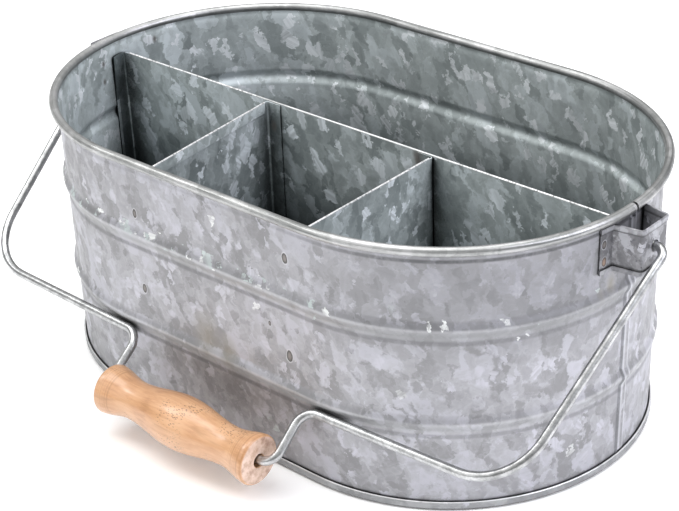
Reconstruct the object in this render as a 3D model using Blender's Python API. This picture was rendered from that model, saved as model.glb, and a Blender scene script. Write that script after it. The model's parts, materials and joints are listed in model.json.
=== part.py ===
"""Galvanized sheet-metal caddy: an oval tapered tub with dividers, two ears, a wire bail and a turned grip.

Metres, +Z up. X runs along the tub, -Y is the side where the bail hangs. The origin is
the middle of the flat underside.
"""
import math

import bmesh
import bpy
from mathutils import Vector

# Sheet and fits
SHEET = 0.0005
SEAT_GAP = 0.0003
FOLD_GAP = 0.00015
BEND_RADIUS = 0.0012
CUT_OVERRUN = 0.002

# Tub: an oval of two half circles joined by straight sides
STRAIGHT_HALF = 0.061
RIM_RADIUS = 0.1044
FOOT_DRAW_IN = 0.0040
RIM_HEIGHT = 0.1382
RIM_ROLL_RADIUS = 0.0023
RIM_ROLL_TURN = math.radians(305)
RIM_ROLL_STEPS = 9
END_STEPS = 24

# Pressed beads round the wall
BEAD_BELOW_EAR = 0.0086
LOWER_BEAD_SHARE = 0.49
BEAD_WIDTH = 0.010
BEAD_DEPTH = 0.0018
BEAD_STEPS = 6

# Lock seam and butt joint of the rim, at the right end
SEAM_OFFSET = 0.0025
SEAM_WIDTH = 0.0046
SEAM_HEIGHT = 0.0009
SEAM_FLANK = 0.0003
SEAM_CLEARANCE = 0.0012
SEAM_RUNOUT = 0.0015
RIM_JOINT_GAP = 0.0010

# Bottom pan
PAN_EDGE_HEIGHT = 0.0048
PAN_HEM_LIFT = 0.0009
PAN_CORNER_RADIUS = 0.0006

# Dividers
DIVIDER_BELOW_RIM = 0.0078
LEFT_CROSS_PLACE = 0.0550
RIGHT_CROSS_PLACE = 0.0532
LEFT_CROSS_SKEW = 0.0085
DIVIDER_FLANGE = 0.009
DIVIDER_HEM = 0.006
HEM_END_INSET = 0.0015

# Ears
EAR_ABOVE_HINGE = 0.0116
EAR_BELOW_HINGE = 0.0118
EAR_STANDOFF = 0.0140
EAR_FACE_HALF = 0.0101
EAR_FOOT_HALF = 0.0120
EAR_SPAN_HALF = 0.0203
EAR_HEM = 0.0026
EAR_HOLE_RADIUS = 0.0028

# Bail wire, in its own plane: out along X, down from the hinge line
WIRE_RADIUS = 0.00225
HINGE_BELOW_RIM = 0.0153
LEG_STANDOFF = 0.00545
LEG_LEAN_IN = 0.0108
HINGE_BEND_RADIUS = 0.0048
STUB_END_GAP = 0.0015
RIGHT_CORNER_RISE = 0.0042
LEFT_CORNER_RISE = 0.0027
CORNER_BEND_RADIUS = 0.031
RIM_CLEARANCE = 0.0213
SHOULDER_DRAW_IN = 0.0006
SHOULDER_BEND_RADIUS = 0.009
GRIP_OFFSET = 0.0302
GRIP_END_ROOM = 0.0054
RIGHT_GRIP_BEND_RADIUS = 0.0075
LEFT_GRIP_BEND_RADIUS = 0.0034
WIRE_SIDES_RESOLUTION = 3
WIRE_BEND_STEPS = 6

# The bail hangs a little to the right in its ears, and its middle sits further right still
BAIL_SHIFT = 0.0009
CRANK_SHIFT = 0.0019

# Turned grip
GRIP_LENGTH = 0.100
GRIP_END_RADIUS = 0.0128
GRIP_BELLY_RADIUS = 0.0136
GRIP_WAIST_RADIUS = 0.0098
GRIP_WAIST_PLACE = 0.0315
GRIP_EDGE_RADIUS = 0.0016
GRIP_BORE_RADIUS = 0.0033
GRIP_SIDES = 24
GRIP_BELLY_STEPS = 8
GRIP_FLARE_STEPS = 4
GRIP_EDGE_STEPS = 3

# Shading and small counts
SMOOTH_ANGLE = math.radians(35)
BEND_STEPS = 2
FOLD_STEPS = 4
HOLE_SIDES = 20
FLANGE_STEPS = 2

HALF_SHEET = SHEET / 2
FOLD_PITCH = SHEET + FOLD_GAP
FOOT_RADIUS = RIM_RADIUS - FOOT_DRAW_IN
FOOT_MID_RADIUS = FOOT_RADIUS - HALF_SHEET
ROLL_MID_RADIUS = RIM_ROLL_RADIUS - HALF_SHEET
TOP_MID_RADIUS = RIM_RADIUS - ROLL_MID_RADIUS
TAPER = (TOP_MID_RADIUS - FOOT_MID_RADIUS) / RIM_HEIGHT
PAN_FLOOR_TOP = SHEET
WALL_FOOT = PAN_FLOOR_TOP + SEAT_GAP
DIVIDER_TOP = RIM_HEIGHT - DIVIDER_BELOW_RIM

# Places of the ears and the bail, from the tub they hang on
HINGE_HEIGHT = RIM_HEIGHT - HINGE_BELOW_RIM
EAR_TOP = HINGE_HEIGHT + EAR_ABOVE_HINGE
EAR_BOTTOM = HINGE_HEIGHT - EAR_BELOW_HINGE
EAR_FACE = STRAIGHT_HALF + FOOT_RADIUS + TAPER * HINGE_HEIGHT + EAR_STANDOFF
HINGE_HALF_SPAN = EAR_FACE + LEG_STANDOFF
RIM_REACH = math.hypot(RIM_RADIUS + RIM_ROLL_RADIUS, RIM_HEIGHT + RIM_ROLL_RADIUS - HINGE_HEIGHT)
SHOULDER_DROP = RIM_REACH + WIRE_RADIUS + RIM_CLEARANCE
CORNER_OUT = HINGE_HALF_SPAN - LEG_LEAN_IN
GRIP_BEND_OUT = GRIP_LENGTH / 2 + GRIP_END_ROOM
SHOULDER_OUT = GRIP_BEND_OUT - SHOULDER_DRAW_IN
GRIP_DROP = SHOULDER_DROP + GRIP_OFFSET

# The upper bead keeps below the ears, the lower one takes its share of that height
UPPER_BEAD_HEIGHT = EAR_BOTTOM - BEAD_BELOW_EAR - BEAD_WIDTH / 2
BEAD_HEIGHTS = (UPPER_BEAD_HEIGHT * LOWER_BEAD_SHARE, UPPER_BEAD_HEIGHT)


def clear_scene():
    """Empty the scene of whatever it starts with."""
    for old in list(bpy.data.objects):
        bpy.data.objects.remove(old, do_unlink=True)


def make_material(name, colour, roughness, metallic):
    """A plain surface of one colour."""
    material = bpy.data.materials.new(name)
    material.use_nodes = True
    shader = material.node_tree.nodes["Principled BSDF"]
    shader.inputs["Base Color"].default_value = (*colour, 1.0)
    shader.inputs["Roughness"].default_value = roughness
    shader.inputs["Metallic"].default_value = metallic
    return material


def wall_mid_radius(height):
    """Distance of the wall's middle surface from the oval's spine at a height."""
    return FOOT_MID_RADIUS + TAPER * height


def oval_point(spine, angle, radius, height):
    """A point at this angle and distance from a spine end, the centre of one of the half circles."""
    return Vector((spine + radius * math.cos(angle), radius * math.sin(angle), height))


def end_angles(start, finish, steps):
    """Evenly spaced angles, both ends included."""
    return [start + (finish - start) * i / steps for i in range(steps + 1)]


def arc_points(centre, radius, start, turn, steps):
    """Points of an arc in a plane, both ends included."""
    angles = end_angles(start, start + turn, steps)
    return [(centre[0] + radius * math.cos(angle), centre[1] + radius * math.sin(angle)) for angle in angles]


def rounded_path(corners, radii, steps):
    """An open path in a plane whose inner corners are turned into arcs."""
    path = [Vector(corners[0])]
    for before, corner, after, radius in zip(corners, corners[1:], corners[2:], radii):
        corner = Vector(corner)
        back = (Vector(before) - corner).normalized()
        ahead = (Vector(after) - corner).normalized()
        half_angle = back.angle(ahead) / 2
        reach = radius / math.tan(half_angle)
        centre = corner + (back + ahead).normalized() * radius / math.sin(half_angle)
        first = corner + back * reach - centre
        last = corner + ahead * reach - centre
        turn = first.angle_signed(last)
        for i in range(steps + 1):
            angle = -turn * i / steps
            turned = Vector((
                first.x * math.cos(angle) - first.y * math.sin(angle),
                first.x * math.sin(angle) + first.y * math.cos(angle),
            ))
            path.append(centre + turned)
    path.append(Vector(corners[-1]))
    return path


def offset_path(path, distance):
    """The same path moved sideways, to the right of its direction, with mitred corners."""
    moved = []
    for i, point in enumerate(path):
        before = path[max(i - 1, 0)]
        after = path[min(i + 1, len(path) - 1)]
        ways = [way.normalized() for way in (point - before, after - point) if way.length > 0]
        rights = [Vector((way.y, -way.x)) for way in ways]
        middle = sum(rights, Vector((0, 0))).normalized()
        moved.append(point + middle * distance / middle.dot(rights[0]))
    return moved


def fold_profile(height, side, length):
    """A sheet's edge folded back on itself: (sideways, height) points from the edge line to the hem's end.

    The fold starts at sideways 0 and its outermost surface reaches the given height; side says
    whether the edge points up (1) or down (-1).
    """
    radius = FOLD_PITCH / 2
    turn_line = height - side * (radius + HALF_SHEET)
    points = arc_points((radius, turn_line), radius, math.pi, -side * math.pi, FOLD_STEPS)
    return points + [(FOLD_PITCH, height - side * length)]


def add_object(name, mesh_builder, material):
    """An object whose mesh is filled by mesh_builder(bm)."""
    mesh = bpy.data.meshes.new(name)
    bm = bmesh.new()
    mesh_builder(bm)
    bm.normal_update()
    bm.to_mesh(mesh)
    bm.free()
    mesh.shade_smooth()
    mesh.set_sharp_from_angle(angle=SMOOTH_ANGLE)
    mesh.materials.append(material)
    made = bpy.data.objects.new(name, mesh)
    bpy.context.scene.collection.objects.link(made)
    return made


def add_grid(bm, columns, closed=False, skip=None):
    """Faces between neighbouring columns of points; skip(column, row) leaves a face out."""
    verts = [[bm.verts.new(point) for point in column] for column in columns]
    last = len(verts) if closed else len(verts) - 1
    for i in range(last):
        here, there = verts[i], verts[(i + 1) % len(verts)]
        for j in range(len(here) - 1):
            if skip and skip(i, j):
                continue
            bm.faces.new((here[j], there[j], there[j + 1], here[j + 1]))
    loose = [vert for column in verts for vert in column if not vert.link_faces]
    bmesh.ops.delete(bm, geom=loose, context="VERTS")
    return verts


def thicken(made):
    """Give a sheet its thickness, half to each side of the modelled surface."""
    solid = made.modifiers.new("sheet", "SOLIDIFY")
    solid.thickness = SHEET
    solid.offset = 0.0
    solid.use_even_offset = True
    solid.use_rim = True
    return made


def wall_profile():
    """The wall from foot to curled rim: (height, bulge beyond the taper, seam lift)."""
    seam_low = PAN_EDGE_HEIGHT + SEAM_CLEARANCE
    seam_high = RIM_HEIGHT - RIM_ROLL_RADIUS - SEAM_CLEARANCE
    rows = [(WALL_FOOT, 0.0, 0.0), (seam_low, 0.0, 0.0), (seam_low + SEAM_RUNOUT, 0.0, SEAM_HEIGHT)]
    for middle in BEAD_HEIGHTS:
        for i in range(BEAD_STEPS + 1):
            share = i / BEAD_STEPS
            bulge = BEAD_DEPTH * (1 - math.cos(2 * math.pi * share)) / 2
            rows.append((middle + BEAD_WIDTH * (share - 1 / 2), bulge, SEAM_HEIGHT))
    rows.append((seam_high - SEAM_RUNOUT, 0.0, SEAM_HEIGHT))
    rows.append((seam_high, 0.0, 0.0))
    return rows


def roll_profile():
    """The rim's curl, rolled outwards: (radius, height) points that follow on from the wall."""
    return arc_points((RIM_RADIUS, RIM_HEIGHT), ROLL_MID_RADIUS, math.pi, -RIM_ROLL_TURN, RIM_ROLL_STEPS)


def wall_stations():
    """(angle, lifted by the seam) of each column round the oval, from just past the seam."""
    seam_angle = math.asin(SEAM_OFFSET / RIM_RADIUS)
    joint_half = RIM_JOINT_GAP / 2 / RIM_RADIUS
    seam_half = SEAM_WIDTH / 2 / RIM_RADIUS
    foot_half = seam_half + SEAM_FLANK / RIM_RADIUS
    quarter = math.pi / 2
    quarter_steps = END_STEPS // 2
    after = end_angles(seam_angle + foot_half, quarter, quarter_steps)
    left = end_angles(quarter, 3 * quarter, END_STEPS)
    before = end_angles(3 * quarter, 2 * math.pi + seam_angle - foot_half, quarter_steps)
    full = 2 * math.pi + seam_angle
    stations = [(seam_angle + joint_half, STRAIGHT_HALF, True), (seam_angle + seam_half, STRAIGHT_HALF, True)]
    stations += [(angle, STRAIGHT_HALF, False) for angle in after]
    stations += [(angle, -STRAIGHT_HALF, False) for angle in left]
    stations += [(angle, STRAIGHT_HALF, False) for angle in before]
    stations += [(full - seam_half, STRAIGHT_HALF, True), (full - joint_half, STRAIGHT_HALF, True)]
    return stations


def build_body_wall(material):
    """One wrapped sheet: tapered wall, two outward beads, lock seam and open curled rim."""
    rows = wall_profile()
    roll = roll_profile()

    def fill(bm):
        stations = wall_stations()
        columns = []
        for angle, spine, lifted in stations:
            column = []
            for height, bulge, seam_lift in rows:
                radius = wall_mid_radius(height) + bulge + (seam_lift if lifted else 0.0)
                column.append((radius, height))
            column += roll
            columns.append([oval_point(spine, angle, radius, height) for radius, height in column])
        add_grid(bm, columns, closed=True, skip=lambda i, j: i == len(stations) - 1 and j >= len(rows))

    return thicken(add_object("body_wall", fill, material))


def build_bottom_pan(material):
    """Flat bottom whose edge turns up outside the wall's foot and folds down again as a hem."""
    floor_height = HALF_SHEET
    edge_offset = SHEET + SEAT_GAP
    fold = fold_profile(PAN_EDGE_HEIGHT, 1, PAN_EDGE_HEIGHT - PAN_HEM_LIFT)

    def edge_radius(height):
        return wall_mid_radius(height) + edge_offset

    corner = rounded_path(
        [(edge_radius(0) - 2 * PAN_CORNER_RADIUS, floor_height), (edge_radius(0), floor_height),
         (edge_radius(fold[0][1]), fold[0][1])],
        [PAN_CORNER_RADIUS], BEND_STEPS,
    )
    profile = [(point.x, point.y) for point in corner[:-1]]
    profile += [(edge_radius(height) + sideways, height) for sideways, height in fold]

    def fill(bm):
        spines = [(angle, STRAIGHT_HALF) for angle in end_angles(-math.pi / 2, math.pi / 2, END_STEPS)]
        spines += [(angle, -STRAIGHT_HALF) for angle in end_angles(math.pi / 2, 3 * math.pi / 2, END_STEPS)]
        columns = [
            [oval_point(spine, angle, radius, height) for radius, height in profile]
            for angle, spine in spines
        ]
        verts = add_grid(bm, columns, closed=True)
        bm.faces.new([column[0] for column in reversed(verts)])

    return thicken(add_object("bottom_pan", fill, material))


def divider_rows(has_hem):
    """(sideways, height) of a divider's rows, from its foot over the folded top edge."""
    fold = fold_profile(DIVIDER_TOP, 1, DIVIDER_HEM)
    foot = (0.0, PAN_FLOOR_TOP + SEAT_GAP)
    return [foot] + (fold if has_hem else fold[:1])


def inner_skin_radius(height):
    """Middle surface of a flange that lies inside the wall with the seat gap."""
    return wall_mid_radius(height) - SHEET - SEAT_GAP


def build_long_divider(material):
    """Partition along the middle; its ends turn towards the front and lie on the curved wall."""
    fold_rows = divider_rows(True)
    plain_rows = len(divider_rows(False))

    def end_columns(side):
        """Flange columns on one end wall, from the flange's edge to the bend."""
        columns = []
        for i in range(FLANGE_STEPS + 1):
            away = DIVIDER_FLANGE + (BEND_RADIUS - DIVIDER_FLANGE) * i / FLANGE_STEPS
            column = []
            for sideways, height in fold_rows:
                radius = inner_skin_radius(height)
                angle = away / radius
                x = side * (STRAIGHT_HALF + radius * math.cos(angle))
                column.append(Vector((x, -radius * math.sin(angle), height)))
            columns.append(column)
        return columns

    def straight_column(side, inset):
        column = []
        for sideways, height in fold_rows:
            x = side * (STRAIGHT_HALF + inner_skin_radius(height) - inset)
            column.append(Vector((x, sideways, height)))
        return column

    def fill(bm):
        hem_inset = BEND_RADIUS + HEM_END_INSET
        left = end_columns(-1) + [straight_column(-1, BEND_RADIUS), straight_column(-1, hem_inset)]
        right = end_columns(1) + [straight_column(1, BEND_RADIUS), straight_column(1, hem_inset)]
        columns = left + list(reversed(right))
        hem_start = len(left) - 1

        def skip(i, j):
            return j >= plain_rows - 1 and i != hem_start

        add_grid(bm, columns, skip=skip)

    return thicken(add_object("long_divider", fill, material))


def build_cross_divider(name, material, side, place, skew):
    """Short partition from the long one to the front wall; both its flanges face the middle cell.

    Its front end may stand out of square, by skew towards the middle cell.
    """
    fold_rows = divider_rows(True)
    plain_rows = len(divider_rows(False))
    back_line = -(SHEET + SEAT_GAP)

    def front_line(height):
        return -inner_skin_radius(height)

    def column(offset, depth):
        points = []
        for sideways, height in fold_rows:
            y = depth(height)
            share = (y - back_line) / (front_line(height) - back_line)
            inward = offset + sideways + skew * share
            points.append(Vector((side * (place - inward), y, height)))
        return points

    def fill(bm):
        columns = [
            column(DIVIDER_FLANGE, lambda height: back_line),
            column(BEND_RADIUS, lambda height: back_line),
            column(0.0, lambda height: back_line - BEND_RADIUS),
            column(0.0, lambda height: back_line - BEND_RADIUS - HEM_END_INSET),
            column(0.0, lambda height: front_line(height) + BEND_RADIUS + HEM_END_INSET),
            column(0.0, lambda height: front_line(height) + BEND_RADIUS),
            column(BEND_RADIUS, front_line),
            column(DIVIDER_FLANGE, front_line),
        ]
        hem_start = len(columns) // 2 - 1

        def skip(i, j):
            return j >= plain_rows - 1 and i != hem_start

        add_grid(bm, columns, skip=skip)

    return thicken(add_object(name, fill, material))


def ear_path(height, side):
    """Plan of an ear's middle surface at a height: flange, side, face, side, flange."""
    radius = wall_mid_radius(height) + SHEET + SEAT_GAP
    face = EAR_FACE - HALF_SHEET
    angles = end_angles(EAR_SPAN_HALF / radius, EAR_FOOT_HALF / radius, FLANGE_STEPS)
    front = [(STRAIGHT_HALF + radius * math.cos(angle), -radius * math.sin(angle)) for angle in angles]
    front.append((face, HALF_SHEET - EAR_FACE_HALF))
    back = [(x, -y) for x, y in reversed(front)]
    edge_points = FLANGE_STEPS - 1
    bent = rounded_path(front[edge_points:] + back[:len(back) - edge_points], [BEND_RADIUS] * 4, BEND_STEPS)
    path = front[:edge_points] + bent + back[len(back) - edge_points:]
    return [Vector((side * point[0], side * point[1])) for point in path]


def build_ear(name, material, side):
    """Hat-shaped bracket with folded top and bottom edges and a hole for the bail wire."""
    top_fold = fold_profile(EAR_TOP, 1, EAR_HEM)
    bottom_fold = fold_profile(EAR_BOTTOM, -1, EAR_HEM)
    rows = list(reversed(bottom_fold)) + top_fold

    def fill(bm):
        paths = [offset_path(ear_path(height, side), sideways) for sideways, height in rows]
        columns = [
            [Vector((path[i].x, path[i].y, height)) for path, (sideways, height) in zip(paths, rows)]
            for i in range(len(paths[0]))
        ]
        add_grid(bm, columns)

    ear = thicken(add_object(name, fill, material))
    cutter_length = EAR_FACE - TOP_MID_RADIUS - STRAIGHT_HALF
    mesh = bpy.data.meshes.new(name + "_hole")
    bm = bmesh.new()
    bmesh.ops.create_cone(
        bm, cap_ends=True, segments=HOLE_SIDES, depth=cutter_length,
        radius1=EAR_HOLE_RADIUS, radius2=EAR_HOLE_RADIUS,
    )
    bm.to_mesh(mesh)
    bm.free()
    cutter = bpy.data.objects.new(name + "_hole", mesh)
    cutter.rotation_euler = (0, math.pi / 2, 0)
    cutter.location = (side * (EAR_FACE + CUT_OVERRUN - cutter_length / 2), 0, HINGE_HEIGHT)
    cutter.hide_render = True
    cutter.display_type = "WIRE"
    bpy.context.scene.collection.objects.link(cutter)
    hole = ear.modifiers.new("hole", "BOOLEAN")
    hole.operation = "DIFFERENCE"
    hole.object = cutter
    hole.solver = "EXACT"
    return ear


def bail_lean():
    """Angle from straight down towards the front at which the shoulders rest on the wall."""
    slope = math.hypot(1, TAPER)
    standoff = (HALF_SHEET + WIRE_RADIUS + SEAT_GAP) * slope
    reach = (FOOT_MID_RADIUS + TAPER * HINGE_HEIGHT + standoff) / (SHOULDER_DROP * slope)
    return math.asin(reach) - math.atan(TAPER)


def add_bail_hinge():
    """Empty on the hinge line, leaned so that the bail hangs down its own -Z."""
    hinge = bpy.data.objects.new("bail_hinge", None)
    hinge.location = (0, 0, HINGE_HEIGHT)
    hinge.rotation_euler = (-bail_lean(), 0, 0)
    bpy.context.scene.collection.objects.link(hinge)
    return hinge


def bail_route():
    """The wire's centreline in its own plane, (out, up) points from the right stub to the left one."""
    stub_end = STRAIGHT_HALF + wall_mid_radius(HINGE_HEIGHT) + SEAM_HEIGHT + HALF_SHEET + STUB_END_GAP
    halves = []
    for side, rise, grip_bend in (
        (1, RIGHT_CORNER_RISE, RIGHT_GRIP_BEND_RADIUS), (-1, LEFT_CORNER_RISE, LEFT_GRIP_BEND_RADIUS),
    ):
        radii = [HINGE_BEND_RADIUS, CORNER_BEND_RADIUS, SHOULDER_BEND_RADIUS, grip_bend]
        leg = [(stub_end, 0.0), (HINGE_HALF_SPAN, 0.0), (CORNER_OUT, rise - SHOULDER_DROP)]
        crank = [(SHOULDER_OUT, -SHOULDER_DROP), (GRIP_BEND_OUT, -GRIP_DROP), (0.0, -GRIP_DROP)]
        corners = [(side * out + BAIL_SHIFT, up) for out, up in leg]
        corners += [(side * out + BAIL_SHIFT + CRANK_SHIFT, up) for out, up in crank]
        halves.append(rounded_path(corners, radii, WIRE_BEND_STEPS))
    return halves[0] + halves[1][-2::-1]


def build_bail_wire(material, hinge):
    """One bent wire: stub, leg, wide corner, shoulder, and the straight that the grip turns on."""
    route = bail_route()
    curve = bpy.data.curves.new("bail_wire", "CURVE")
    curve.dimensions = "3D"
    curve.bevel_depth = WIRE_RADIUS
    curve.bevel_resolution = WIRE_SIDES_RESOLUTION
    curve.use_fill_caps = True
    spline = curve.splines.new("POLY")
    spline.points.add(len(route) - 1)
    for place, point in zip(spline.points, route):
        place.co = (point.x, 0, point.y, 1)
    curve.materials.append(material)
    wire = bpy.data.objects.new("bail_wire", curve)
    bpy.context.scene.collection.objects.link(wire)
    wire.parent = hinge
    return wire


def grip_radius(along):
    """Outer radius of the turned grip at a distance from its middle, without the rounded edge."""
    if along <= GRIP_WAIST_PLACE:
        share = (1 + math.cos(math.pi * along / GRIP_WAIST_PLACE)) / 2
        return GRIP_WAIST_RADIUS + (GRIP_BELLY_RADIUS - GRIP_WAIST_RADIUS) * share
    flare = GRIP_LENGTH / 2 - GRIP_WAIST_PLACE
    share = (1 - math.cos(math.pi * (along - GRIP_WAIST_PLACE) / flare)) / 2
    return GRIP_WAIST_RADIUS + (GRIP_END_RADIUS - GRIP_WAIST_RADIUS) * share


def grip_outline():
    """Half outline, (along, radius), from the middle to the bore's mouth."""
    edge_start = GRIP_LENGTH / 2 - GRIP_EDGE_RADIUS
    places = [GRIP_WAIST_PLACE * i / GRIP_BELLY_STEPS for i in range(GRIP_BELLY_STEPS)]
    places += end_angles(GRIP_WAIST_PLACE, edge_start, GRIP_FLARE_STEPS)
    outline = [(place, grip_radius(place)) for place in places]
    edge_radius = grip_radius(edge_start) - GRIP_EDGE_RADIUS
    edge = arc_points((edge_start, edge_radius), GRIP_EDGE_RADIUS, math.pi / 2, -math.pi / 2, GRIP_EDGE_STEPS)
    return outline + edge[1:] + [(GRIP_LENGTH / 2, GRIP_BORE_RADIUS)]


def build_grip(material, hinge):
    """Turned wooden handle with a bore wider than the wire; it hangs on the wire and spins."""
    half = grip_outline()
    outline = [(-along, radius) for along, radius in reversed(half[1:])] + half

    def fill(bm):
        verts = [bm.verts.new((along, 0, radius)) for along, radius in outline]
        edges = [bm.edges.new(pair) for pair in zip(verts, verts[1:] + verts[:1])]
        bmesh.ops.spin(
            bm, geom=verts + edges, cent=(0, 0, 0), axis=(1, 0, 0), angle=2 * math.pi,
            steps=GRIP_SIDES, use_merge=True,
        )
        bmesh.ops.recalc_face_normals(bm, faces=bm.faces)

    grip = add_object("grip", fill, material)
    lean = bail_lean()
    hang = GRIP_BORE_RADIUS - WIRE_RADIUS - SEAT_GAP
    spindle = bpy.data.objects.new("grip_spindle", None)
    spindle.location = (0, hang * math.sin(lean), -GRIP_DROP - hang * math.cos(lean))
    bpy.context.scene.collection.objects.link(spindle)
    spindle.parent = hinge
    grip.parent = spindle
    return grip


def main():
    """Build every piece of the caddy."""
    clear_scene()
    outer_zinc = make_material("galvanized_wall", (0.46, 0.47, 0.50), 0.42, 0.9)
    inner_zinc = make_material("galvanized_divider", (0.33, 0.37, 0.37), 0.45, 0.9)
    pan_zinc = make_material("galvanized_pan", (0.40, 0.41, 0.42), 0.40, 0.9)
    ear_zinc = make_material("galvanized_ear", (0.48, 0.47, 0.47), 0.45, 0.9)
    wire_zinc = make_material("zinc_wire", (0.55, 0.56, 0.57), 0.30, 1.0)
    wood = make_material("turned_wood", (0.76, 0.50, 0.29), 0.45, 0.0)
    build_body_wall(outer_zinc)
    build_bottom_pan(pan_zinc)
    build_long_divider(inner_zinc)
    build_cross_divider("cross_divider_left", inner_zinc, -1, LEFT_CROSS_PLACE, LEFT_CROSS_SKEW)
    build_cross_divider("cross_divider_right", inner_zinc, 1, RIGHT_CROSS_PLACE, 0.0)
    build_ear("ear_left", ear_zinc, -1)
    build_ear("ear_right", ear_zinc, 1)
    hinge = add_bail_hinge()
    build_bail_wire(wire_zinc, hinge)
    build_grip(wood, hinge)


main()
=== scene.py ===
import json
from functools import partial
from math import acos, atan2, cos, degrees, hypot, pi, radians, sin, tan

import bpy
from mathutils import Matrix, Vector


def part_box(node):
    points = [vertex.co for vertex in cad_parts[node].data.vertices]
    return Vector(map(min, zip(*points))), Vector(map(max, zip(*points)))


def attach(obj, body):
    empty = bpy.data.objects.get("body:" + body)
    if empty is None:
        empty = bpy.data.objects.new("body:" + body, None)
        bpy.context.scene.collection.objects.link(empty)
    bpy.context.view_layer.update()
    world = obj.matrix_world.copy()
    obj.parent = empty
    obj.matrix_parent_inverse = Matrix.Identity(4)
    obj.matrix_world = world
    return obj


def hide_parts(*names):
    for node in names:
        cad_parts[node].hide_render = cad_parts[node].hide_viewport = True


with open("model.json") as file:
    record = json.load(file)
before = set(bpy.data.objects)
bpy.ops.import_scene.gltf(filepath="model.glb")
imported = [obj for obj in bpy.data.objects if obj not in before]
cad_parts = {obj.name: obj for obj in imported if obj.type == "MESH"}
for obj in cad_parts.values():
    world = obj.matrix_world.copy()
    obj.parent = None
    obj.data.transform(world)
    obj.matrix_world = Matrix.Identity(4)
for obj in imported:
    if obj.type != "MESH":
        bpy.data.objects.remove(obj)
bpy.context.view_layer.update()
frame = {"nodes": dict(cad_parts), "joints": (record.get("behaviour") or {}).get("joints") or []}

print("frame loaded:", len(frame["nodes"]), "nodes")

mm = 0.001
metre = 1000  # in mm: metre / size is the scale of a pattern of that size
touch = 0.01 * mm  # places closer than this are the same
slack = 0.1 * mm  # room at the border of a selection
halfGrey = (0.5, 0.5, 0.5)  # the middle of a random colour
joints = {joint["name"]: joint for joint in frame["joints"]}
hingePlace = Vector(joints["bail_hinge"]["pos_m"])
gripPlace = Vector(joints["grip_spin"]["pos_m"])
wallLow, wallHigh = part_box("body_wall")
panLow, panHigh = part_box("bottom_pan")
earLow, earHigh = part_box("ear_right")
dividerLow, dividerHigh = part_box("long_divider")
gripLow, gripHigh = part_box("grip")

sheetMetal = {
    "thickness": 0.5 * mm,
    "seatGap": 0.3 * mm,  # between pieces that are spot-welded together
    "foldGap": 0.15 * mm,  # inside a hem
    "bendRadius": 1.2 * mm,
    "foldSteps": 6,
    "bendSteps": 5,
    "smoothAngle": 32,
}
halfSheet = sheetMetal["thickness"] / 2
foldPitch = sheetMetal["thickness"] + sheetMetal["foldGap"]
seated = sheetMetal["thickness"] + sheetMetal["seatGap"]  # from one welded sheet's middle to the other's

tub = {
    "rollRadius": 2.3 * mm,  # the curled rim
    "rollEnd": -104,  # degrees, where the sheet's edge lies under the curl
    "rollSteps": 26,
    "creaseDepth": 0.5 * mm,  # groove inside, where the curl starts
    "creaseBelow": 3.4 * mm,
    "footRadius": 100.4 * mm,  # wall's outside at the floor, from the oval's spine
    "beadWidth": 10 * mm,
    "beadDepth": 1.8 * mm,
    "beadHeights": (47.8 * mm, 97.5 * mm),
    "beadSteps": 14,
    "quarterSteps": 30,  # round a quarter of the oval's end
    "seamPlace": 2.5 * mm,  # lock seam at the right end, off the middle
    "seamWidth": 4.6 * mm,
    "seamHeight": 0.9 * mm,
    "seamCrown": 0.75,  # share of the width that stays flat on top
    "seamLow": 6.5 * mm,
    "seamBelowRim": 4 * mm,
    "rimJointPlace": 0.5 * mm,
    "rimJointGap": 1.4 * mm,
    "smoothAngle": 50,
    "inwards": -0.5,  # faces that turn from the wall by more than this share look inside
}
rimRadius = wallHigh.y - tub["rollRadius"]
straightHalf = -wallLow.x - wallHigh.y
rimHeight = wallHigh.z - tub["rollRadius"]
rightEnd = Vector((straightHalf + rimRadius, 0, 0))
footMid = tub["footRadius"] - halfSheet
topMid = rimRadius - tub["rollRadius"] + halfSheet
taper = (topMid - footMid) / rimHeight


def wallMid(height):
    return footMid + taper * height  # middle of the sheet, from the oval's spine


# Modelling steps shared by the pieces


def objectMode():
    bpy.ops.object.mode_set(mode="OBJECT")


def editAll():
    bpy.ops.object.mode_set(mode="EDIT")
    bpy.ops.mesh.select_mode(type="VERT")
    bpy.ops.mesh.select_all(action="SELECT")


def deselectAll():
    if bpy.context.object and bpy.context.object.mode != "OBJECT":
        objectMode()
    bpy.ops.object.select_all(action="DESELECT")


def selectOnly(piece):
    deselectAll()
    piece.select_set(True)
    bpy.context.view_layer.objects.active = piece


def extrudeBy(step):
    bpy.ops.mesh.extrude_region_move(TRANSFORM_OT_translate={"value": step})


def drawLine(name, points):
    # one vertex, extruded from point to point
    deselectAll()
    bpy.ops.mesh.primitive_plane_add(size=mm, location=points[0])
    piece = bpy.context.object
    piece.name = name
    piece.data.name = name
    bpy.ops.object.transform_apply(location=True)
    editAll()
    bpy.ops.mesh.merge(type="CENTER")
    for here, there in zip(points, points[1:]):
        extrudeBy(there - here)
    bpy.ops.mesh.select_all(action="SELECT")
    return piece


def heading(angle):
    return Vector((cos(radians(angle)), sin(radians(angle)), 0))


def startWalk(name, place, angle, rows):
    # stands an outline across a heading; its rows are (to the right of the heading, height)
    right = heading(angle - 90)
    piece = drawLine(name, [place + right * side + Vector((0, 0, z)) for side, z in rows])
    return piece, {"place": place, "angle": angle}


def goAhead(walk, length):
    step = heading(walk["angle"]) * length
    extrudeBy(step)
    walk["place"] = walk["place"] + step


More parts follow.
